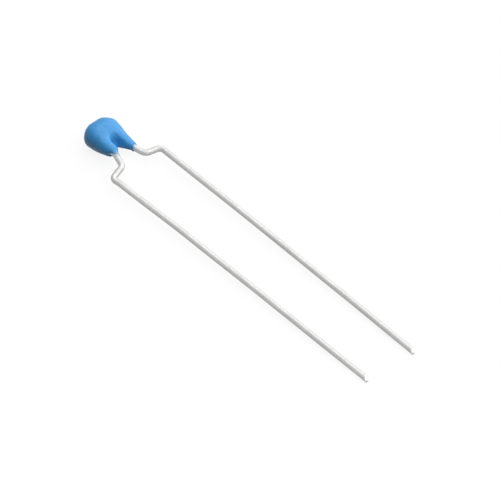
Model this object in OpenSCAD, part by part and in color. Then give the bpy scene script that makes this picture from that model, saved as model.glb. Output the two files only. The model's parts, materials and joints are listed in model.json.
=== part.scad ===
// Multilayer ceramic capacitor: a ceramic block with a stack of electrode plates,
// capped at both ends, soldered between two kinked leads and dipped in epoxy.
// Millimetres. +X runs from the dipped body to the tips of the leads, +Y across
// the two leads and +Z up from the surface that the part lies on. The sub-parts
// are drawn about the block's centre, and placed() lays them down at rest.

/* [Ceramic block] */
// Length between the two end faces, across the leads
chip_l = 1.54; // [1.3:0.02:1.8]
// Width, in the direction of the leads
chip_w = 1; // [0.8:0.05:1.2]
// Thickness of the fired stack
chip_t = 1; // [0.9:0.02:1.2]
// Radius of the tumbled edges
chip_edge_r = 0.06; // [0.03:0.01:0.08]

/* [Electrode plates] */
// Number of plates, which reach the two end faces by turns
plate_count = 12; // [2:2:12]
// Thickness of one plate
plate_t = 0.005; // [0.003:0.001:0.01]
// Distance from one plate to the next
plate_pitch = 0.06; // [0.04:0.005:0.065]
// Bare ceramic at each side of a plate
plate_side_margin = 0.15; // [0.1:0.01:0.25]
// Bare ceramic between a plate's buried end and the far end face
plate_end_margin = 0.2; // [0.1:0.01:0.3]

/* [End terminations] */
// Thickness of the metal on an end face
term_t = 0.03; // [0.02:0.005:0.06]
// Thickness of the metal where it wraps round the block's sides
term_side_t = 0.015; // [0.01:0.005:0.03]
// How far it wraps along the block from the end face
term_wrap = 0.3; // [0.2:0.01:0.45]

/* [Leads] */
// Diameter of the tinned wire
wire_d = 0.5; // [0.4:0.05:0.6]
// Distance between the two straight leads, centre to centre
lead_pitch = 5; // [4.6:0.1:6]
// Length of a straight lead, from its outer bend to its tip
lead_l = 28.9; // [15:0.1:35]
// Least bare wire between the coat and a lead's first bend
bare_l = 0.7; // [0.3:0.05:2]
// Run of the left kink along the lead
left_kink_run = 0.47; // [0.3:0.01:1]
// Run of the right kink along the lead
right_kink_run = 0.25; // [0.2:0.01:0.5]
// Radius of the left lead's bends, along the middle of the wire
left_bend_r = 0.55; // [0.4:0.05:0.65]
// Radius of the right lead's bends, along the middle of the wire
right_bend_r = 0.4; // [0.35:0.05:0.6]
// How far below and above the block's middle the left and right wires meet it
wire_offset = 0.28; // [0:0.02:0.3]
// Drop of the straight leads below the block's middle
lead_drop = 0.11; // [0:0.01:0.3]
// Distance that a wire's buried end stays back from the block's far side
wire_setback = 0.1; // [0.05:0.01:0.2]
// Slant of the sheared tips, which are longest underneath
tip_shear = 30; // [0:1:40]

/* [Solder joints] */
// Thickness of the solder round a wire, and between it and the termination
solder_film = 0.02; // [0.01:0.005:0.04]
// Thickness of the solder at the edge of its foot
solder_edge = 0.01; // [0.005:0.001:0.012]
// Bare edge left on the termination beside and past the solder
solder_margin = 0.04; // [0.02:0.005:0.06]

/* [Epoxy coat] */
// Pillow of epoxy over the block's broad faces
coat_face = 0.455; // [0.3:0.005:0.8]
// Pillow past the outer side of each wire
coat_side = 0.1; // [0.05:0.01:0.4]
// Pillow past the block, on the side away from the leads
coat_top = 0.5; // [0.3:0.02:1]
// Distance from the block's middle to the end of the left leg
left_leg_end = 2.5; // [2.2:0.05:3.5]
// Distance from the block's middle to the end of the right leg
right_leg_end = 2.75; // [2.2:0.05:3.5]
// Radius of a leg where it starts, beside the block's middle
leg_root_r = 0.99; // [0.9:0.01:1.2]
// How far inside its wire a leg starts
leg_inset = 0.62; // [0.4:0.01:0.8]
// Epoxy round a wire at the end of its leg
leg_lip = 0.08; // [0.04:0.005:0.12]
// Roundness of the body's outline: 2 is an ellipse
coat_squareness = 2.2; // [2:0.1:2.6]
// Roundness of the body's edge: 2 is an ellipse
coat_fullness = 2.4; // [2:0.1:3]
// Width over which the body and its legs flow together
coat_blend = 0.12; // [0.06:0.01:0.15]

/* [Hidden] */
$fn = 48;
wire_r = wire_d / 2;
// Cuts run past the face that they open by this much
cut_over = 0.5;

// The wires stand off the terminations by the solder between them
chip_half_l = chip_l / 2 + term_t;
wire_y = chip_half_l + solder_film + wire_r;
wire_start_x = wire_setback - chip_w / 2;
joint_half_w = chip_w / 2 - solder_margin;

// The epoxy body is measured from what it covers
coat_x = chip_w / 2 + coat_top;
coat_y = wire_y + wire_r + coat_side;
coat_z = chip_t / 2 + term_side_t + coat_face;
leg_lip_r = wire_r + leg_lip;
function leg_end(side) = side > 0 ? left_leg_end : right_leg_end;

// Each kink lies in the plane of its buried wire and its straight lead
function wire_z(side) = -side * wire_offset;
function kink_rise(side) = [lead_pitch / 2 - wire_y, wire_z(side) + lead_drop];
function kink_depth(side) = norm(kink_rise(side));
function kink_roll(side) = -side * atan2(kink_rise(side)[1], kink_rise(side)[0]);
function kink_run(side) = side > 0 ? left_kink_run : right_kink_run;
function bend_r(side) = side > 0 ? left_bend_r : right_bend_r;
function kink_angle(side) = atan2(kink_depth(side), kink_run(side));
function bend_tangent(side) = bend_r(side) * tan(kink_angle(side) / 2);

// Lengths that meet end to end are kept to a tenth of a micrometre
function fine(size) = round(size * 10000) / 10000;

left = 1;
right = -1;
function least_kink_x(side) = leg_end(side) + bare_l + bend_tangent(side) + kink_run(side);
kink_x = max(least_kink_x(left), least_kink_x(right));
tip_x = kink_x + lead_l;

// Names of the nodes
function plate_name(i) = str("electrode_", i < 10 ? "0" : "", i);
PLATES = [for (i = [1:plate_count]) plate_name(i)];

// ---- Outer surface of the coat ----
// The coat is where coat_field() is below 0: a pillow and two round legs that flow
// together, as a thick dip does when surface tension rounds it off. Each leg starts
// as a ball beside the block and thins out straight to the end of its coated wire.

function pillow_field(p) =
    let (
        s = coat_squareness,
        f = coat_fullness,
        plan = pow(pow(abs(p.x) / coat_x, s) + pow(abs(p.y) / coat_y, s), 1 / s)
    )
    coat_z * (pow(pow(plan, f) + pow(abs(p.z) / coat_z, f), 1 / f) - 1);

// What is left of a leg at x, from 1 at its start to 0 at its end
function leg_share(x, side) = max(0, min(1, 1 - x / leg_end(side)));
function leg_middle(x, side) =
    let (share = leg_share(x, side))
    [x, side * (wire_y - leg_inset * share), wire_z(side) * (1 - share)];
function leg_r(x, side) = leg_lip_r + (leg_root_r - leg_lip_r) * leg_share(x, side);

function leg_field(p, side) =
    let (m = leg_middle(p.x, side))
    norm([min(p.x, 0), p.y - m.y, p.z - m.z]) - leg_r(p.x, side);

function coat_field(p) =
    let (fields = [pillow_field(p), leg_field(p, left), leg_field(p, right)])
    -coat_blend * ln([for (f = fields) exp(-f / coat_blend)] * [1, 1, 1]);

// Where a ray from a point inside the coat comes out of it, found by halving
ray_l = coat_y + max(left_leg_end, right_leg_end);
halvings = 18;
function reach(from, dir, near, far, n) =
    let (mid = (near + far) / 2)
    n == 0 ? mid
    : coat_field(from + mid * dir) < 0 ? reach(from, dir, mid, far, n - 1)
    : reach(from, dir, near, mid, n - 1);
function hit(from, dir, far = ray_l) = from + reach(from, dir, 0, far, halvings) * dir;

// Rings of points go round the coat from its top pole to the crotch between the
// legs, and then round each leg. Each side of the coat has half of every ring.
body_rings = 22;
leg_rings = 8;
ring_steps = 24;
body_sweep = 150;
leg_ring_crowding = 1.5;
pole = hit([0, 0, 0], [-1, 0, 0]);
crotch = hit([0, 0, 0], [1, 0, 0]);
function body_share(i) = (1 - cos(body_sweep * i / body_rings)) / (1 - cos(body_sweep));
function tail_share(i) = pow(i / leg_rings, leg_ring_crowding);
function ring_x(i, side) =
    i <= body_rings
    ? pole.x + (crotch.x - pole.x) * body_share(i)
    : crotch.x + (leg_end(side) - crotch.x) * tail_share(i - body_rings);

// The rays of a ring start from the leg's middle line, which goes on to the pole
function core(x, side) =
    let (narrowing = x < 0 ? sqrt(max(0, 1 - pow(x / pole.x, 2))) : 1)
    let (m = leg_middle(x, side))
    [x, narrowing * m.y, m.z];

// A ray towards the other leg stops at the plane midway between the legs
function ray_limit(c, a) = cos(a) < 0 ? min(ray_l, -abs(c.y) / cos(a)) : ray_l;

function ring_angle(seam, c, side) = atan2(seam.z - c.z, -side * c.y);
function half_ring(i, side) =
    let (
        x = ring_x(i, side),
        c = core(x, side),
        above = i < body_rings,
        low_seam = above ? hit([x, 0, 0], [0, 0, -1]) : [x, 0, 0],
        high_seam = above ? hit([x, 0, 0], [0, 0, 1]) : [x, 0, 0],
        high_raw = ring_angle(high_seam, c, side),
        low_raw = ring_angle(low_seam, c, side),
        high = high_raw < 0 ? high_raw + 360 : high_raw,
        low = above ? (low_raw > 0 ? low_raw - 360 : low_raw) : high - 360,
        turn = high - low,
        inner = [
            for (j = [0:ring_steps - 1])
                let (a = low + turn * j / ring_steps)
                hit(c, [0, side * cos(a), sin(a)], ray_limit(c, a))
        ]
    )
    i <= body_rings
    ? [for (j = [0:ring_steps]) j == 0 ? low_seam : j == ring_steps ? high_seam : inner[j]]
    : concat(inner, [inner[0]]);

function side_points(side) = concat(
    [for (i = [1:body_rings + leg_rings]) each half_ring(i, side)],
    [pole]
);
coat_points = concat(side_points(left), side_points(right));

ring_points = ring_steps + 1;
ring_total = body_rings + leg_rings;
side_total = ring_total * ring_points + 1;
function turned(face, side) =
    side < 0 ? face : [for (i = [len(face) - 1:-1:0]) face[i]];
function side_faces(side) =
    let (
        first = side > 0 ? 0 : side_total,
        last_ring = first + (ring_total - 1) * ring_points,
        pole_point = first + side_total - 1
    )
    [
        for (j = [0:ring_steps - 1]) turned([pole_point, first + j + 1, first + j], side),
        for (i = [0:ring_total - 2], j = [0:ring_steps - 1])
            let (a = first + i * ring_points + j, b = a + ring_points)
            each [turned([a, b + 1, b], side), turned([a, a + 1, b + 1], side)],
        turned([for (j = [0:ring_steps - 1]) last_ring + j], side)
    ];
coat_faces = concat(side_faces(left), side_faces(right));

// ---- Rest ----
// The part rests on the coat's lowest point and on both lead tips
function height_at(p, tilt) = p.z * cos(tilt) - p.x * sin(tilt);
function coat_low(tilt) = min([for (p = coat_points) height_at(p, tilt)]);
tip_low_point = [tip_x, 0, -lead_drop - wire_r];
steepest_rest = 10;
function rest_tilt_between(low, high, n) =
    let (mid = (low + high) / 2)
    n == 0 ? mid
    : coat_low(mid) < height_at(tip_low_point, mid) ? rest_tilt_between(mid, high, n - 1)
    : rest_tilt_between(low, mid, n - 1);
rest_tilt = rest_tilt_between(-steepest_rest, steepest_rest, halvings);
rest_x = -(min([for (p = coat_points) p.x * cos(rest_tilt) + p.z * sin(rest_tilt)])
    + tip_x * cos(rest_tilt) - lead_drop * sin(rest_tilt)) / 2;
rest_z = -height_at(tip_low_point, rest_tilt);

module placed() {
    translate([rest_x, 0, rest_z]) rotate([0, rest_tilt, 0]) children();
}

// ---- Shared shapes ----
module rounded_rectangle(size, r) {
    square([size[0], size[1] - 2 * r], center = true);
    square([size[0] - 2 * r, size[1]], center = true);
    for (i = [-1, 1], j = [-1, 1])
        translate([i * (size[0] / 2 - r), j * (size[1] / 2 - r)]) circle(r);
}

module rounded_block(size, r) {
    intersection() {
        linear_extrude(size.z, center = true) rounded_rectangle([size.x, size.y], r);
        rotate([90, 0, 0])
            linear_extrude(size.y, center = true) rounded_rectangle([size.x, size.z], r);
        rotate([90, 0, 90])
            linear_extrude(size.x, center = true) rounded_rectangle([size.y, size.z], r);
    }
}

// The block without its plates
module block() {
    rounded_block([chip_w, chip_l, chip_t], chip_edge_r);
}

// Plate i, counted from the bottom; odd plates reach the left end face.
// past_end lengthens it beyond the end face that it reaches.
module plate(i, past_end = 0) {
    side = i % 2 == 1 ? left : right;
    plate_l = chip_l - plate_end_margin + past_end;
    level = (i - (plate_count + 1) / 2) * plate_pitch;
    translate([0, side * (chip_l / 2 + past_end - plate_l / 2), level])
        cube([chip_w - 2 * plate_side_margin, plate_l, plate_t], center = true);
}

// Block and termination metal together, over one end of the block
module capped_end(side) {
    cap_l = term_wrap + term_t;
    intersection() {
        rounded_block(
            [chip_w + 2 * term_side_t, chip_l + 2 * term_t, chip_t + 2 * term_side_t],
            chip_edge_r + term_side_t
        );
        translate([0, side * (chip_half_l - cap_l / 2), 0])
            cube([chip_w + cut_over, cap_l, chip_t + cut_over], center = true);
    }
}

// A wire is laid piece by piece towards -X, with each piece's far end as the
// place where its children start
module wire_run(l) {
    rotate([0, -90, 0]) cylinder(r = wire_r, h = l);
    translate([-l, 0, 0]) children();
}

// A bend in the XY plane, towards -Y for a positive angle
module wire_turn(r, angle) {
    toward = sign(angle);
    translate([0, -toward * r, 0]) {
        rotate([0, 0, toward * 90])
            rotate_extrude(angle = angle) translate([r, 0]) circle(wire_r);
        rotate([0, 0, angle]) translate([0, toward * r, 0]) children();
    }
}

// A lead with its straight part on the X axis and its kink towards -Y
module flat_lead(side) {
    r = bend_r(side);
    angle = fine(kink_angle(side));
    tangent = bend_tangent(side);
    straight_l = fine(lead_l - tangent);
    slope_l = fine(norm([kink_run(side), kink_depth(side)]) - 2 * tangent);
    buried_l = fine(kink_x - kink_run(side) - tangent - wire_start_x);
    translate([tip_x, 0, 0])
        wire_run(straight_l)
            wire_turn(r, angle)
                wire_run(slope_l)
                    wire_turn(r, -angle)
                        wire_run(buried_l);
}

// What the shears took off a tip that was square
module sheared_off() {
    translate([tip_x, -wire_d, -wire_r])
        rotate([0, -tip_shear, 0])
            translate([0, 0, -wire_d]) cube([wire_d, 2 * wire_d, 3 * wire_d]);
}

// The straight wire inside the coat, lengthened past the end of its leg
module buried_wire(side) {
    translate([wire_start_x, side * wire_y, wire_z(side)])
        rotate([0, 90, 0]) cylinder(r = wire_r, h = leg_end(side) + cut_over - wire_start_x);
}

// Solder round one wire, with a concave fillet down to the termination each side
module solder_section() {
    joint_r = wire_r + solder_film;
    foot = chip_t / 2 - wire_offset - solder_margin;
    fillet_r = (foot * foot + pow(solder_edge, 2) - 2 * joint_r * solder_edge)
        / (4 * joint_r - 2 * solder_edge);
    fillet_x = solder_edge + fillet_r;
    translate([joint_r, 0]) circle(joint_r);
    difference() {
        polygon([
            [0, -foot], [fillet_x, -foot], [joint_r, 0], [fillet_x, foot], [0, foot]
        ]);
        for (j = [-1, 1]) translate([fillet_x, j * foot]) circle(fillet_r);
    }
}

// ---- Sub-parts ----
module epoxy_coat() {
    color([0.13, 0.42, 0.72])
        difference() {
            polyhedron(coat_points, coat_faces, convexity = 6);
            block();
            for (side = [left, right]) {
                capped_end(side);
                solder_joint(side);
                buried_wire(side);
            }
        }
}

module ceramic_chip() {
    color([0.86, 0.8, 0.68])
        difference() {
            block();
            for (i = [1:plate_count]) plate(i, past_end = cut_over);
        }
}

module electrode(i) {
    color([0.5, 0.5, 0.52]) plate(i);
}

module termination(side) {
    color([0.75, 0.75, 0.76])
        difference() {
            capped_end(side);
            block();
        }
}

module solder_joint(side) {
    translate([-joint_half_w, side * chip_half_l, wire_z(side)])
        mirror([0, side > 0 ? 0 : 1, 0])
            rotate([90, 0, 90]) linear_extrude(2 * joint_half_w) solder_section();
}

module solder(side) {
    color([0.66, 0.67, 0.69])
        difference() {
            solder_joint(side);
            buried_wire(side);
        }
}

module lead(side) {
    color([0.78, 0.78, 0.78])
        translate([0, side * lead_pitch / 2, -lead_drop])
            difference() {
                rotate([kink_roll(side), 0, 0])
                    mirror([0, side > 0 ? 0 : 1, 0]) flat_lead(side);
                sheared_off();
            }
}

placed() epoxy_coat();
placed() ceramic_chip();
placed() termination(left);  // left_termination
placed() termination(right);  // right_termination
placed() solder(left);  // left_solder
placed() solder(right);  // right_solder
placed() lead(left);  // left_lead
placed() lead(right);  // right_lead
for (i = [1:plate_count])
    placed() electrode(i);
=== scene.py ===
"""Studio picture of a small dipped ceramic capacitor with two kinked wire leads.

The CAD parts inside the coat stay as they are. The epoxy coat and the two leads are made
again here as fine meshes on the same lines, with the small irregularities that a dipped
coat and hand-bent wires have. They are drawn in the part's own frame, where the ceramic
block is centred on the origin, the leads run along +x and the left one lies on +y, and
PLACED then lays them down at rest. Everything is in metres.
"""
import json
import math

import bmesh
import bpy
import numpy as np
from mathutils import Matrix, Vector

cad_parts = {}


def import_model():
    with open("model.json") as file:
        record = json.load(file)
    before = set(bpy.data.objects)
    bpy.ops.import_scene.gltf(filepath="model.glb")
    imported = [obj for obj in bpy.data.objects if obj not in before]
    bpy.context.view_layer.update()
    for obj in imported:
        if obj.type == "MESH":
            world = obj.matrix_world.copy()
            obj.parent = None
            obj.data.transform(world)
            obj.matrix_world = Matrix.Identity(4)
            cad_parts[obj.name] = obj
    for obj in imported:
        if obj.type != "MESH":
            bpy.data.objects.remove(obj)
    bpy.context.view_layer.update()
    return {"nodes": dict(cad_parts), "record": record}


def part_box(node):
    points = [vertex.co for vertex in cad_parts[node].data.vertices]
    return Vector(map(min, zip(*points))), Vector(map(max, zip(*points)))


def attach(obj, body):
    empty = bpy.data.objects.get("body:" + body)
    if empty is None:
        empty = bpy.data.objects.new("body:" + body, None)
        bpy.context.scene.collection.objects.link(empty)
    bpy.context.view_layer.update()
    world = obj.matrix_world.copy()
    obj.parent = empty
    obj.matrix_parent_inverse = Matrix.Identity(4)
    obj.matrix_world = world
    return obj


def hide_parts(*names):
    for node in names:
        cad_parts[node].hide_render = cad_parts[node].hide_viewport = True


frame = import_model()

MM = 0.001
TURN = 2 * math.pi
LEFT, RIGHT = 1, -1

# ---- Sizes, as in the part's own source ----
WIRE_R = 0.25 * MM
WIRE_START_X = -0.4 * MM
# How far the wires lie beside the block, and above or below its middle
WIRE_Y = 1.07 * MM
WIRE_OFFSET = 0.28 * MM
LEAD_PITCH = 5.0 * MM
LEAD_DROP = 0.11 * MM
KINK_X = 4.069 * MM
KINK_RUN = {LEFT: 0.47 * MM, RIGHT: 0.25 * MM}
BEND_R = {LEFT: 0.55 * MM, RIGHT: 0.4 * MM}
TIP_SHEAR = math.radians(30)
LEG_END = {LEFT: 2.5 * MM, RIGHT: 2.75 * MM}
LEG_ROOT_R = 0.99 * MM
LEG_INSET = 0.62 * MM
COAT_SQUARENESS = 2.2
COAT_FULLNESS = 2.4
COAT_BLEND = 0.12 * MM
# As dipped, the coat is a touch wider and fuller in front, and thicker on the right wire
COAT_HALF = np.array([1.0, 1.44, 0.97]) * MM
COAT_FRONT = 1.66 * MM
LEG_LIP_R = {LEFT: 0.33 * MM, RIGHT: 0.37 * MM}

# ---- Where the frame lays the part down ----
mounts = {m["name"]: m for m in frame["record"]["mounts"]}
pin_axis = mounts["left_pin"]["axis"]
REST_TILT = math.atan2(-pin_axis[2], pin_axis[0])
chip_low, chip_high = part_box("ceramic_chip")
CHIP_CENTRE = (chip_low + chip_high) / 2
PLACED = Matrix.Translation(CHIP_CENTRE) @ Matrix.Rotation(REST_TILT, 4, "Y")
lead_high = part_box("left_lead")[1]
TIP_X = (lead_high.x - CHIP_CENTRE.x) / math.cos(REST_TILT)

# ---- Mesh helpers ----
MERGE_GAP = 1e-8
# How many waves make up a bump field, and how their lengths vary about the one asked for
WAVES = 7
SHORTEST_WAVE, LONGEST_WAVE = 0.7, 1.5


def new_object(name, points, faces, smooth_angle=40, attributes=()):
    """A mesh object from points in the part's own frame, laid down at rest."""
    mesh = bpy.data.meshes.new(name)
    mesh.from_pydata([tuple(p) for p in points], [], [tuple(f) for f in faces])
    for key, values in attributes:
        kind = "FLOAT_VECTOR" if np.ndim(values) == 2 else "FLOAT"
        made = mesh.attributes.new(key, kind, "POINT")
        made.data.foreach_set("vector" if kind == "FLOAT_VECTOR" else "value", np.ravel(values))
    shape = bmesh.new()
    shape.from_mesh(mesh)
    bmesh.ops.remove_doubles(shape, verts=shape.verts, dist=MERGE_GAP)
    bmesh.ops.recalc_face_normals(shape, faces=shape.faces)
    shape.to_mesh(mesh)
    shape.free()
    mesh.transform(PLACED)
    mesh.shade_smooth()
    mesh.set_sharp_from_angle(angle=math.radians(smooth_angle))
    piece = bpy.data.objects.new(name, mesh)
    bpy.context.scene.collection.objects.link(piece)
    return piece


def wave(x, y, z, scale, seed):
    """A smooth bump field of about -1 to 1, with waves about scale long."""
    total = np.zeros_like(np.asarray(x, float))
    draw = np.random.RandomState(seed)
    for _ in range(WAVES):
        direction = draw.normal(size=3)
        length = scale * np.linalg.norm(direction) * draw.uniform(SHORTEST_WAVE, LONGEST_WAVE)
        direction *= TURN / length
        phase = draw.uniform(0, TURN)
        total += np.sin(direction[0] * x + direction[1] * y + direction[2] * z + phase)
    return total / math.sqrt(WAVES)


def eased(value, start, end):
    """0 up to start and 1 from end on, with a smooth rise between them."""
    share = np.clip((value - start) / (end - start), 0, 1)
    return share * share * (3 - 2 * share)


# ---- Where the wires run beside the block ----
# Hand bending leaves each wire a little off its line here and there: how far, where
# along the lead, and over what length
NUDGES = {
    LEFT: [(0.12 * MM, 3.4 * MM, 0.5 * MM)],
    RIGHT: [(0.2 * MM, 2.35 * MM, 0.6 * MM), (-0.15 * MM, 3.7 * MM, 0.5 * MM)],
}


def nudge(x, side):
    return sum(far * np.exp(-(((x - at) / length) ** 2)) for far, at, length in NUDGES[side])


def wire_y(x, side):
    return side * WIRE_Y + nudge(x, side)


def wire_z(side):
    return -side * WIRE_OFFSET


# ---- The form of the epoxy coat ----
# The dip is a little uneven: it leans to the left, with wide swells and finer ripples
LEAN = 0.04 * MM
SWELL, SWELL_LENGTH, SWELL_SEED = 0.012 * MM, 1.1 * MM, 3
RIPPLE, RIPPLE_LENGTH, RIPPLE_SEED = 0.004 * MM, 0.35 * MM, 8
# A crease runs down between the legs on the upper side, steeper towards the right leg
CREASE = 0.5 * MM
CREASE_WIDTH = {LEFT: 0.42 * MM, RIGHT: 0.3 * MM}
CREASE_START, CREASE_END = 0.9 * MM, 1.6 * MM
CREASE_LOW, CREASE_HIGH = -0.5 * MM, 0.2 * MM
# Rays that look for the surface: their greatest length, and how often it is halved
FAR = 5 * MM
HALVINGS = 26


def leg_share(x, side):
    return np.clip(1 - x / LEG_END[side], 0, 1)


def leg_middle(x, side):
    share = leg_share(x, side)
    return wire_y(x, side) - side * LEG_INSET * share, wire_z(side) * (1 - share)


def coat_field(x, y, z):
    """Below 0 inside the coat: a pillow and two round legs that flow together."""
    half_x = np.where(x > 0, COAT_FRONT, COAT_HALF[0])
    across = (np.abs(x) / half_x) ** COAT_SQUARENESS
    across = across + (np.abs(y - LEAN) / COAT_HALF[1]) ** COAT_SQUARENESS
    across = across ** (1 / COAT_SQUARENESS)
    height = (np.abs(z) / COAT_HALF[2]) ** COAT_FULLNESS
    pillow = COAT_HALF[2] * ((across**COAT_FULLNESS + height) ** (1 / COAT_FULLNESS) - 1)
    total = np.exp(-pillow / COAT_BLEND)
    for side in (LEFT, RIGHT):
        middle_y, middle_z = leg_middle(x, side)
        radius = LEG_LIP_R[side] + (LEG_ROOT_R - LEG_LIP_R[side]) * leg_share(x, side)
        away = np.sqrt(np.minimum(x, 0) ** 2 + (y - middle_y) ** 2 + (z - middle_z) ** 2)
        total = total + np.exp(-(away - radius) / COAT_BLEND)
    width = np.where(y > 0, CREASE_WIDTH[LEFT], CREASE_WIDTH[RIGHT])
    crease = CREASE * eased(x, CREASE_START, CREASE_END) * eased(z, CREASE_LOW, CREASE_HIGH)
    crease = crease * np.exp(-((y / width) ** 2))
    swell = SWELL * wave(x, y, z, SWELL_LENGTH, SWELL_SEED)
    swell = swell + RIPPLE * wave(x, y, z, RIPPLE_LENGTH, RIPPLE_SEED)
    return -COAT_BLEND * np.log(total) - swell + crease


def reach(start, direction, far):
    """How far rays that start inside the coat go before they leave it."""
    low = np.zeros_like(far)
    high = far.copy()
    for _ in range(HALVINGS):
        mid = (low + high) / 2
        inside = coat_field(*(s + mid * d for s, d in zip(start, direction))) < 0
        low = np.where(inside, mid, low)
        high = np.where(inside, high, mid)
    return low


def reach_along(direction, heights):
    """How far the coat reaches forward or back from points above its centre."""
    still = 0 * heights
    return reach((still, still, heights), (direction, 0, 0), still + FAR)


# ---- The mesh of the epoxy coat ----
# It is made in two halves, each in rings from the pole at its back to a leg's end. The
# halves meet at y = 0, as far as the foremost point of the web between the legs
WEB_HEIGHTS = np.linspace(-0.6, 0.3, 91) * MM
POLE_X = -float(reach_along(-1, np.zeros(1))[0])
WEB_Z = WEB_HEIGHTS[np.argmax(reach_along(1, WEB_HEIGHTS))]
CROTCH_X = float(reach_along(1, np.array([WEB_Z]))[0])
BODY_RINGS, LEG_RINGS, RING_STEPS = 96, 90, 96
STEP = np.arange(RING_STEPS + 1)
BODY_SWEEP = math.radians(150)
LEG_RING_CROWDING = 1.5
DOWN_AND_UP = np.array([-1.0, 1.0])
# Rays that head inward by less than this never reach the middle plane
LEVEL = 1e-9
# The end of each leg is uneven: it slants, waves round the wire and is rounded off
LIP_END = {LEFT: 2.61 * MM, RIGHT: 2.52 * MM}
LIP_SLANT = {LEFT: 0.11 * MM, RIGHT: 0.42 * MM}
LIP_SLANT_AT = {LEFT: math.radians(225), RIGHT: math.radians(140)}
# Three waves round the wire, and five of half their height
LIP_WAVE = 0.03 * MM
LIP_ROUND = {LEFT: 0.14 * MM, RIGHT: 0.36 * MM}
LIP_ROUND_SLANT = {LEFT: 0, RIGHT: 0.26 * MM}
# Where it stands out furthest, the right one runs out as a thin film
LIP_THIN = {LEFT: 0, RIGHT: 0.5}
# It ends just inside the wire, at this share of the wire's radius
LIP_SINK = 0.97
# Over about this thickness, the coat stops letting the wire show through
FILM_FADE = 0.03 * MM


def leg_end_at(angle, side):
    """Where a leg ends along the lead, at an angle round the wire."""
    slant = LIP_SLANT[side] * np.cos(angle - LIP_SLANT_AT[side])
    waves = np.sin(3 * angle + side) + np.sin(5 * angle + 2) / 2
    return LIP_END[side] + slant + LIP_WAVE * waves


def body_ring(i, side):
    """Where a ring behind the crotch lies: its x, centre and angles, and its two ends' z."""
    share = (1 - math.cos(BODY_SWEEP * i / BODY_RINGS)) / (1 - math.cos(BODY_SWEEP))
    x = np.full(STEP.shape, POLE_X + (CROTCH_X - POLE_X) * share)
    narrowing = math.sqrt(max(0, 1 - (x[0] / POLE_X) ** 2)) if x[0] < 0 else 1
    middle_y, centre_z = leg_middle(x[0], side)
    centre_y = narrowing * middle_y
    web_z = WEB_Z * float(eased(x[0], 0, CROTCH_X))
    still = 0 * DOWN_AND_UP
    seam = reach((x[0] + still, still, web_z + still), (0, 0, DOWN_AND_UP), still + FAR)
    seam = web_z + seam * DOWN_AND_UP
    low = math.atan2(seam[0] - centre_z, -side * centre_y)
    high = math.atan2(seam[1] - centre_z, -side * centre_y) % TURN
    low = low - TURN if low > 0 else low
    return x, centre_y, centre_z, low + (high - low) * STEP / RING_STEPS, seam


def leg_ring(i, side):
    """The same for ring i of a leg. Only ring 0 has set ends, both of them at the crotch."""
    middle_y, middle_z = leg_middle(CROTCH_X, side)
    high = math.atan2(WEB_Z - middle_z, -side * middle_y) % TURN
    angle = high - TURN + TURN * STEP / RING_STEPS
    share = (i / LEG_RINGS) ** LEG_RING_CROWDING
    x = CROTCH_X + (leg_end_at(angle, side) - CROTCH_X) * share
    toward_wire = eased(x, CROTCH_X, LEG_END[side])
    middle_y, middle_z = leg_middle(x, side)
    centre_y = middle_y + (wire_y(x, side) - middle_y) * toward_wire
    centre_z = middle_z + (wire_z(side) - middle_z) * toward_wire
    return x, centre_y, centre_z, angle, None if i else (WEB_Z, WEB_Z)


def lip(out, x, angle, side):
    """How far a leg reaches from the middle of its wire, once its end is rounded off."""
    forward = np.cos(angle - LIP_SLANT_AT[side])
    rounding = LIP_ROUND[side] + LIP_ROUND_SLANT[side] * forward
    left_to_go = np.clip((leg_end_at(angle, side) - x) / rounding, 0, 1)
    share = np.sqrt(1 - (1 - left_to_go) ** 2)
    share = share + (left_to_go**2 - share) * LIP_THIN[side] * (1 + forward)
    end_r = WIRE_R * LIP_SINK
    return end_r + (out - end_r) * share


def coat_half(side):
    """Points and faces of one half of the coat."""
    points, faces = [], []
    for i in range(1, BODY_RINGS + LEG_RINGS + 1):
        on_leg = i >= BODY_RINGS
        placed = leg_ring(i - BODY_RINGS, side) if on_leg else body_ring(i, side)
        x, centre_y, centre_z, angle, seam = placed
        step_y, step_z = side * np.cos(angle), np.sin(angle)
        inward = np.cos(angle) < -LEVEL
        far = np.where(inward, np.abs(centre_y) / np.where(inward, -np.cos(angle), 1), FAR)
        start = (x, centre_y + 0 * x, centre_z + 0 * x)
        out = reach(start, (0, step_y, step_z), np.minimum(far, FAR))
        if on_leg:
            out = lip(out, x, angle, side)
        y, z = start[1] + out * step_y, start[2] + out * step_z
        if seam is not None:
            y[0] = y[-1] = 0
            z[0], z[-1] = seam
        points += list(np.stack([x, y, z], 1))
    count = len(STEP)
    for i in range(BODY_RINGS + LEG_RINGS - 1):
        for j in range(RING_STEPS):
            a, b = i * count + j, (i + 1) * count + j
            faces.append((a, a + 1, b + 1, b) if side > 0 else (b, b + 1, a + 1, a))
    last = (BODY_RINGS + LEG_RINGS - 1) * count
    faces.append([last + j for j in range(RING_STEPS)])
    points.append(np.array([POLE_X, 0, 0]))
    for j in range(RING_STEPS):
        faces.append((len(points) - 1, j + 1, j))
    return points, faces


def film_over_wire(points):
    """1 where the coat on a wire is a mere film, falling to 0 where it is thick."""
    x, y, z = np.array(points).T
    side = np.sign(y)
    middle_y = np.where(side > 0, wire_y(x, LEFT), wire_y(x, RIGHT))
    over = np.hypot(y - middle_y, z - wire_z(side)) - WIRE_R
    return np.where(x > CROTCH_X, np.exp(-np.maximum(over, 0) / FILM_FADE), 0)


def coat():
    points, faces = [], []
    for side in (LEFT, RIGHT):
        more_points, more_faces = coat_half(side)
        faces += [[v + len(points) for v in face] for face in more_faces]
        points += more_points
    film = film_over_wire(points)
    return new_object("dipped_coat", points, faces, smooth_angle=70, attributes=[("film", film)])


# ---- Leads ----
WIRE_SIDES = 48
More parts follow.
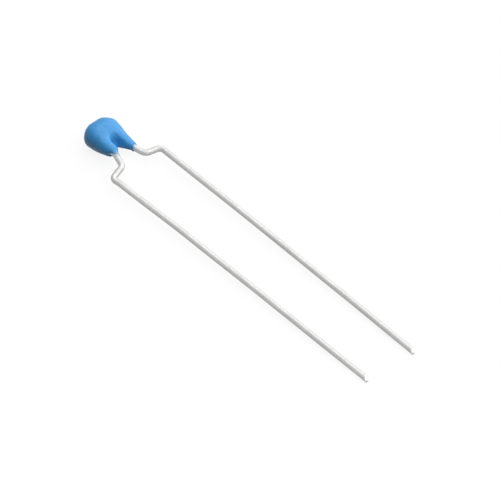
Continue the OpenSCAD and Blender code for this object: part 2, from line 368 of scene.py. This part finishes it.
# Up to here a wire is hidden in the coat; past it, the rings lie close together
HIDDEN_X = 1.9 * MM
RING_GAP = 0.03 * MM
STRAIGHT_GAP = 0.3 * MM
# How far the straight part of a lead strays sideways from its line, in millimetres, at
# shares of its length
STRAY = {
    LEFT: [(0, 0), (0.35, 0.05), (0.7, 0.02), (1, -0.05)],
    RIGHT: [(0, 0.03), (0.3, 0.22), (0.6, 0.3), (1, 0.33)],
}
# The cut is turned round the wire and leaves a square foot on its low side, and the right
# lead is cut shorter
TIP_ROLL = math.radians(35)
TIP_FOOT = 0.12 * MM
TIP_BACK = {LEFT: 0, RIGHT: 0.25 * MM}
# They draw the rim of each tip out: how far, where round the wire, over what angle, and
# how fast it falls off inward
BURR = 0.07 * MM
BURR_AT = {LEFT: math.radians(190), RIGHT: math.radians(150)}
BURR_WIDTH = {LEFT: math.radians(75), RIGHT: math.radians(40)}
BURR_POWER = 8
# The rings on the face of the cut, as shares of the wire's radius
CUT_RINGS = (1.0, 0.97, 0.9, 0.8, 0.65, 0.5, 0.35, 0.2)
# How far past the coat's end its stain reaches along a wire
FILM_REACH = 0.12 * MM


def kink(side):
    """Depth, roll and angle of a kink, which lies in the plane of its wire and lead."""
    across = LEAD_PITCH / 2 - WIRE_Y
    rise = wire_z(side) + LEAD_DROP
    depth = math.hypot(across, rise)
    return depth, -side * math.atan2(rise, across), math.atan2(depth, KINK_RUN[side])


def stray(keys, share):
    """How far a lead strays at a share of its length, eased from key to key."""
    for (s0, y0), (s1, y1) in zip(keys, keys[1:]):
        if share <= s1:
            t = (share - s0) / (s1 - s0)
            t = t * t * (3 - 2 * t)
            return Vector((0, y0 + (y1 - y0) * t, 0)) * MM
    return Vector((0, keys[-1][1], 0)) * MM


def lead_path(side):
    """Points along the middle of a lead, from inside the coat to its tip."""
    depth, roll, angle = kink(side)
    radius = BEND_R[side]
    tangent = radius * math.tan(angle / 2)
    inner = Vector((KINK_X - KINK_RUN[side], -depth, 0))
    outer = Vector((KINK_X, 0, 0))
    flat = []

    def line(start, end, gap):
        steps = max(1, round((end - start).length / gap))
        flat.extend(start.lerp(end, k / steps) for k in range(steps))

    def arc(corner, turn_from, turn_to, flip):
        steps = max(2, round(radius * angle / RING_GAP))
        for k in range(steps):
            turn = turn_from + (turn_to - turn_from) * k / steps
            x = radius * math.sin(turn) - tangent
            y = radius * (1 - math.cos(turn))
            flat.append(corner + flip * Vector((x, y, 0)))

    hidden_end = Vector((HIDDEN_X, -depth, 0))
    line(Vector((WIRE_START_X, -depth, 0)), hidden_end, STRAIGHT_GAP)
    line(hidden_end, inner - Vector((tangent, 0, 0)), RING_GAP)
    arc(inner, 0, angle, 1)
    slope = Vector((math.cos(angle), math.sin(angle), 0)) * tangent
    line(inner + slope, outer - slope, RING_GAP)
    arc(outer, angle, 0, -1)
    straight_start = outer + Vector((tangent, 0, 0))
    first_straight = len(flat)
    tip = Vector((TIP_X - TIP_BACK[side], 0, 0))
    line(straight_start, tip, STRAIGHT_GAP)
    flat.append(tip)
    placed = []
    for i, p in enumerate(flat):
        p = Vector((p.x, p.y * side, 0))
        p.rotate(Matrix.Rotation(roll, 3, "X"))
        p += Vector((0, side * LEAD_PITCH / 2, -LEAD_DROP))
        p.y += float(nudge(p.x, side))
        if i > first_straight:
            p += stray(STRAY[side], (p.x - straight_start.x) / (TIP_X - straight_start.x))
        placed.append(p)
    return placed


def above_foot(across):
    """How far a point of a lead's tip lies above the square foot of the cut."""
    height = across.z * math.cos(TIP_ROLL) + across.y * math.sin(TIP_ROLL)
    return max(0, height + WIRE_R - TIP_FOOT)


def burr(angle, radius, side):
    """How far the shears draw a tip out, at an angle and radius round the wire."""
    away = abs((angle - BURR_AT[side] + math.pi) % TURN - math.pi)
    return BURR * math.exp(-((away / BURR_WIDTH[side]) ** 2)) * (radius / WIRE_R) ** BURR_POWER


def stain(point, side):
    """1 on a wire where the coat ends, falling to 0 past it."""
    off_wire = point.y - float(wire_y(point.x, side))
    coat_angle = math.atan2(point.z - wire_z(side), side * off_wire)
    past = point.x - float(leg_end_at(coat_angle, side))
    near_coat = abs(off_wire) < 2 * WIRE_R
    return math.exp(-max(past, 0) / FILM_REACH) if near_coat else 0.0


def lead(side, name):
    """A lead as rings round its path, and smaller ones that close its sheared tip."""
    path = lead_path(side)
    points, faces, straightened, film, cut = [], [], [], [], []
    angles = [TURN * j / WIRE_SIDES for j in range(WIRE_SIDES)]
    up = Vector((0, 0, 1))
    along = 0

    def ring(centre, up, right, radius=WIRE_R, sheared=False, on_cut=False):
        for angle in angles:
            across = radius * (math.cos(angle) * up + math.sin(angle) * right)
            point = centre + across
            if sheared:
                back = above_foot(across) * math.tan(TIP_SHEAR)
                point.x = centre.x - back + burr(angle, radius, side)
            points.append(point)
            straightened.append((along / MM, across.y / MM, across.z / MM))
            film.append(stain(point, side))
            # The cut's bright colour fades back to the wire's grey towards its square foot:
            # painted shade on the low part of the cut face.
            cut.append(min(1, above_foot(across) / TIP_FOOT) if on_cut else 0.0)

    for i, p in enumerate(path):
        before, after = path[max(i - 1, 0)], path[min(i + 1, len(path) - 1)]
        tangent = (after - before).normalized()
        up = (up - tangent * up.dot(tangent)).normalized()
        right = tangent.cross(up)
        along += (p - before).length
        ring(p, up, right, sheared=i == len(path) - 1)
    for share in CUT_RINGS:
        ring(path[-1], up, right, WIRE_R * share, sheared=True, on_cut=True)
    rings = len(points) // WIRE_SIDES
    for i in range(rings - 1):
        for j in range(WIRE_SIDES):
            a, b = i * WIRE_SIDES + j, i * WIRE_SIDES + (j + 1) % WIRE_SIDES
            faces.append((a, b, b + WIRE_SIDES, a + WIRE_SIDES))
    faces.append(list(range(WIRE_SIDES))[::-1])
    faces.append([(rings - 1) * WIRE_SIDES + j for j in range(WIRE_SIDES)])
    attributes = [("straightened", straightened), ("film", film), ("cut", cut)]
    return new_object(name, points, faces, attributes=attributes)


# ---- Materials ----
EPOXY_DEEP, EPOXY_LIGHT = (0.032, 0.26, 0.59), (0.044, 0.31, 0.68)
EPOXY_MOTTLE, EPOXY_FILM = (0.025, 0.19, 0.48), (0.2, 0.33, 0.42)
EPOXY_IOR = 1.42
TIN_DARK, TIN_LIGHT = (0.43, 0.43, 0.427), (0.52, 0.52, 0.515)
TIN_LINES, TIN_STAIN, TIN_CUT = (0.33, 0.33, 0.325), (0.24, 0.33, 0.4), (0.8, 0.8, 0.79)
# Coordinates that are drawn out along a wire, so that noise turns into drawing lines
ALONG_WIRE = (0.6, 14, 14)
NOISE_ROUGHNESS = 0.55
# How far the roughness of an inner piece varies to each side
ROUGH_SPREAD = 0.08
# The colour sockets of a mix node, which has others of the same names
MIX_FIRST, MIX_SECOND, MIX_RESULT = 6, 7, 2


class Nodes:
    """A material's node tree, with short ways to add what these materials are made of."""

    def __init__(self, name):
        self.material = bpy.data.materials.new(name)
        self.material.use_nodes = True
        self.tree = self.material.node_tree
        self.shader = self.tree.nodes["Principled BSDF"]

    def link(self, source, target):
        self.tree.links.new(source, target)

    def attribute(self, name, output):
        source = self.tree.nodes.new("ShaderNodeAttribute")
        source.attribute_name = name
        return source.outputs[output]

    def place(self, attribute=None, stretch=(1, 1, 1)):
        """Coordinates in millimetres: the piece's own, or an attribute's."""
        mapping = self.tree.nodes.new("ShaderNodeMapping")
        if attribute:
            source, scale = self.attribute(attribute, "Vector"), 1
        else:
            source = self.tree.nodes.new("ShaderNodeTexCoord").outputs["Object"]
            scale = 1 / MM
        self.link(source, mapping.inputs["Vector"])
        mapping.inputs["Scale"].default_value = [scale * s for s in stretch]
        return mapping.outputs[0]

    def value(self, attribute):
        return self.attribute(attribute, "Fac")

    def noise(self, place, per_mm, detail=3):
        made = self.tree.nodes.new("ShaderNodeTexNoise")
        made.inputs["Scale"].default_value = per_mm
        made.inputs["Detail"].default_value = detail
        made.inputs["Roughness"].default_value = NOISE_ROUGHNESS
        self.link(place, made.inputs["Vector"])
        return made.outputs["Fac"]

    def ramp(self, source, low, high, from_low=0.3, from_high=0.7):
        made = self.tree.nodes.new("ShaderNodeMapRange")
        made.inputs["From Min"].default_value = from_low
        made.inputs["From Max"].default_value = from_high
        made.inputs["To Min"].default_value = low
        made.inputs["To Max"].default_value = high
        self.link(source, made.inputs["Value"])
        return made.outputs[0]

    def mix(self, share, first, second):
        """Colours or sockets first and second, by share."""
        made = self.tree.nodes.new("ShaderNodeMix")
        made.data_type = "RGBA"
        self.link(share, made.inputs[0])
        for socket, color in ((MIX_FIRST, first), (MIX_SECOND, second)):
            if isinstance(color, tuple):
                made.inputs[socket].default_value = (*color, 1)
            else:
                self.link(color, made.inputs[socket])
        return made.outputs[MIX_RESULT]

    def bump(self, height, distance, strength):
        made = self.tree.nodes.new("ShaderNodeBump")
        made.inputs["Strength"].default_value = strength
        made.inputs["Distance"].default_value = distance
        self.link(height, made.inputs["Height"])
        return made.outputs[0]

    def finish(self, color, roughness, normal, metallic=0.0):
        self.link(color, self.shader.inputs["Base Color"])
        self.link(roughness, self.shader.inputs["Roughness"])
        self.link(normal, self.shader.inputs["Normal"])
        self.shader.inputs["Metallic"].default_value = metallic
        return self.material


def epoxy_material():
    """Glossy blue epoxy, mottled darker, and greyer where the wire shows through."""
    made = Nodes("epoxy")
    place = made.place()
    color = made.mix(made.noise(place, per_mm=1.1), EPOXY_DEEP, EPOXY_LIGHT)
    spots = made.noise(place, per_mm=6, detail=5)
    mottle = made.ramp(spots, low=0, high=0.5, from_low=0.48, from_high=0.75)
    color = made.mix(mottle, color, EPOXY_MOTTLE)
    color = made.mix(made.value("film"), color, EPOXY_FILM)
    rough = made.ramp(made.noise(place, per_mm=3.5), low=0.28, high=0.42)
    made.shader.inputs["IOR"].default_value = EPOXY_IOR
    peel = made.noise(place, per_mm=3.5, detail=2)
    return made.finish(color, rough, made.bump(peel, distance=0.03 * MM, strength=0.6))


def tinned_material():
    """Dull tinned wire with fine lines along it, bluish at the coat and bright at the cut, with
    painted shade on the cut's low part.
    """
    made = Nodes("tinned_wire")
    lines = made.place("straightened", stretch=ALONG_WIRE)
    place = made.place("straightened")
    color = made.mix(made.noise(place, per_mm=1.6, detail=4), TIN_DARK, TIN_LIGHT)
    streaks = made.noise(lines, per_mm=1, detail=3)
    drawn = made.ramp(streaks, low=0, high=0.5, from_low=0.45, from_high=0.75)
    color = made.mix(drawn, color, TIN_LINES)
    color = made.mix(made.value("film"), color, TIN_STAIN)
    # Bright bare metal on the cut, kept the wire's grey towards its foot as painted shade.
    color = made.mix(made.value("cut"), color, TIN_CUT)
    rough = made.ramp(made.noise(place, per_mm=4), low=0.52, high=0.66)
    grooves = made.noise(lines, per_mm=1, detail=2)
    relief = made.bump(grooves, distance=0.004 * MM, strength=0.5)
    return made.finish(color, rough, relief, metallic=1.0)


def grained_material(name, dark, light, per_mm, rough, metallic, relief):
    """A grained finish for a piece inside the coat, with relief of a depth in metres."""
    made = Nodes(name)
    place = made.place()
    grain = made.noise(place, per_mm, detail=5)
    color = made.mix(made.ramp(grain, low=0, high=1), dark, light)
    patches = made.noise(place, per_mm / 2)
    roughness = made.ramp(patches, low=rough - ROUGH_SPREAD, high=rough + ROUGH_SPREAD)
    pits = made.noise(place, per_mm * 2, detail=4)
    return made.finish(color, roughness, made.bump(pits, relief, strength=0.6), metallic)


def dress(piece, made):
    piece.data.materials.clear()
    piece.data.materials.append(made)


# ---- Floor, light and background ----
FLOOR_SIZE = 4.0
# How much of the light the floor scatters, and how brightly it glows where it is seen
FLOOR_GREY, FLOOR_GLOW = 0.12, 0.88
# How bright the white surroundings are as light, and as seen
AMBIENT, BACKDROP = 0.09, 1.0
KEY_PLACE, KEY_TARGET = (0.1, 0.26, 0.42), (-0.005, 0, 0)
KEY_SIZE, KEY_POWER = 1.3, 9.6


def maths(tree, operation, first, second):
    """A maths node on a socket, and on a second socket or a number."""
    made = tree.nodes.new("ShaderNodeMath")
    made.operation = operation
    tree.links.new(first, made.inputs[0])
    if isinstance(second, (int, float)):
        made.inputs[1].default_value = second
    else:
        tree.links.new(second, made.inputs[1])
    return made.outputs[0]


def seen_directly(tree):
    """1 for camera, glossy and transmission rays, so that they all see the white background."""
    rays = tree.nodes.new("ShaderNodeLightPath").outputs
    seen = maths(tree, "MAXIMUM", rays["Is Camera Ray"], rays["Is Glossy Ray"])
    return maths(tree, "MAXIMUM", seen, rays["Is Transmission Ray"])


def floor():
    mesh = bpy.data.meshes.new("floor")
    h = FLOOR_SIZE / 2
    mesh.from_pydata([(-h, -h, 0), (h, -h, 0), (h, h, 0), (-h, h, 0)], [], [(0, 1, 2, 3)])
    piece = bpy.data.objects.new("floor", mesh)
    bpy.context.scene.collection.objects.link(piece)
    made = bpy.data.materials.new("floor_white")
    made.use_nodes = True
    tree = made.node_tree
    tree.nodes.clear()
    out = tree.nodes.new("ShaderNodeOutputMaterial")
    add = tree.nodes.new("ShaderNodeAddShader")
    diffuse = tree.nodes.new("ShaderNodeBsdfDiffuse")
    diffuse.inputs["Color"].default_value = (FLOOR_GREY, FLOOR_GREY, FLOOR_GREY, 1)
    glow = tree.nodes.new("ShaderNodeEmission")
    strength = maths(tree, "MULTIPLY", seen_directly(tree), FLOOR_GLOW)
    tree.links.new(strength, glow.inputs["Strength"])
    tree.links.new(diffuse.outputs[0], add.inputs[0])
    tree.links.new(glow.outputs[0], add.inputs[1])
    tree.links.new(add.outputs[0], out.inputs["Surface"])
    piece.data.materials.append(made)


def world():
    made = bpy.data.worlds.new("studio")
    bpy.context.scene.world = made
    made.use_nodes = True
    tree = made.node_tree
    tree.nodes.clear()
    out = tree.nodes.new("ShaderNodeOutputWorld")
    background = tree.nodes.new("ShaderNodeBackground")
    background.inputs["Color"].default_value = (1, 1, 1, 1)
    strength = tree.nodes.new("ShaderNodeMapRange")
    strength.inputs["To Min"].default_value = AMBIENT
    strength.inputs["To Max"].default_value = BACKDROP
    tree.links.new(seen_directly(tree), strength.inputs["Value"])
    tree.links.new(strength.outputs[0], background.inputs["Strength"])
    tree.links.new(background.outputs[0], out.inputs["Surface"])


def key_light():
    data = bpy.data.lights.new("key", "AREA")
    data.size = KEY_SIZE
    data.energy = KEY_POWER
    lamp = bpy.data.objects.new("key", data)
    bpy.context.scene.collection.objects.link(lamp)
    lamp.location = KEY_PLACE
    aim = Vector(KEY_TARGET) - Vector(KEY_PLACE)
    lamp.rotation_euler = aim.to_track_quat("-Z", "Y").to_euler()


# ---- Camera ----
AZIMUTH, ELEVATION = math.radians(47.538), math.radians(45.895)
PX_PER_MM = 12.977
IMAGE_PX = 500
# Where the frame's origin lies in the picture
ORIGIN_PX = (240.524, 252.026)
# So long a lens that lines stay parallel
LENS = 1000.0
SENSOR = 36.0
CLIP_START, CLIP_END = 0.01, 50


def camera():
    right = Vector((math.cos(AZIMUTH), math.sin(AZIMUTH), 0))
    level = math.cos(ELEVATION)
    back = Vector((math.sin(AZIMUTH) * level, -math.cos(AZIMUTH) * level, math.sin(ELEVATION)))
    up = back.cross(right)
    px = MM / PX_PER_MM
    middle = right * (IMAGE_PX / 2 - ORIGIN_PX[0]) * px + up * (ORIGIN_PX[1] - IMAGE_PX / 2) * px
    distance = IMAGE_PX * px * LENS / SENSOR
    data = bpy.data.cameras.new("camera")
    data.lens = LENS
    data.sensor_width = SENSOR
    data.clip_start = CLIP_START
    data.clip_end = CLIP_END
    made = bpy.data.objects.new("camera", data)
    bpy.context.scene.collection.objects.link(made)
    turn = Matrix((right, up, back)).transposed().to_4x4()
    made.matrix_world = Matrix.Translation(middle + back * distance) @ turn
    bpy.context.scene.camera = made


# ---- The scene ----
epoxy = epoxy_material()
tinned = tinned_material()
# What the pieces inside the coat look like, by a word in their names
inner = {
    "ceramic_chip": grained_material(
        "ceramic", dark=(0.6, 0.5, 0.36), light=(0.78, 0.7, 0.55),
        per_mm=12, rough=0.65, metallic=0.0, relief=0.006 * MM,
    ),
    "termination": grained_material(
        "termination_metal", dark=(0.52, 0.52, 0.52), light=(0.7, 0.7, 0.69),
        per_mm=9, rough=0.42, metallic=1.0, relief=0.008 * MM,
    ),
    "solder": grained_material(
        "solder", dark=(0.45, 0.46, 0.48), light=(0.62, 0.63, 0.65),
        per_mm=5, rough=0.35, metallic=1.0, relief=0.012 * MM,
    ),
    "electrode": grained_material(
        "electrode_metal", dark=(0.34, 0.34, 0.36), light=(0.5, 0.5, 0.52),
        per_mm=15, rough=0.5, metallic=1.0, relief=0.001 * MM,
    ),
}

coat_piece = coat()
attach(coat_piece, "root")
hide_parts("epoxy_coat")
dress(coat_piece, epoxy)
for side, name in ((LEFT, "left_lead"), (RIGHT, "right_lead")):
    piece = lead(side, name + "_wire")
    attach(piece, "root")
    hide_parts(name)
    dress(piece, tinned)
for name, node in frame["nodes"].items():
    for word, made in inner.items():
        if word in name:
            dress(node, made)

floor()
world()
key_light()
camera()
bpy.context.scene.view_settings.view_transform = "Standard"
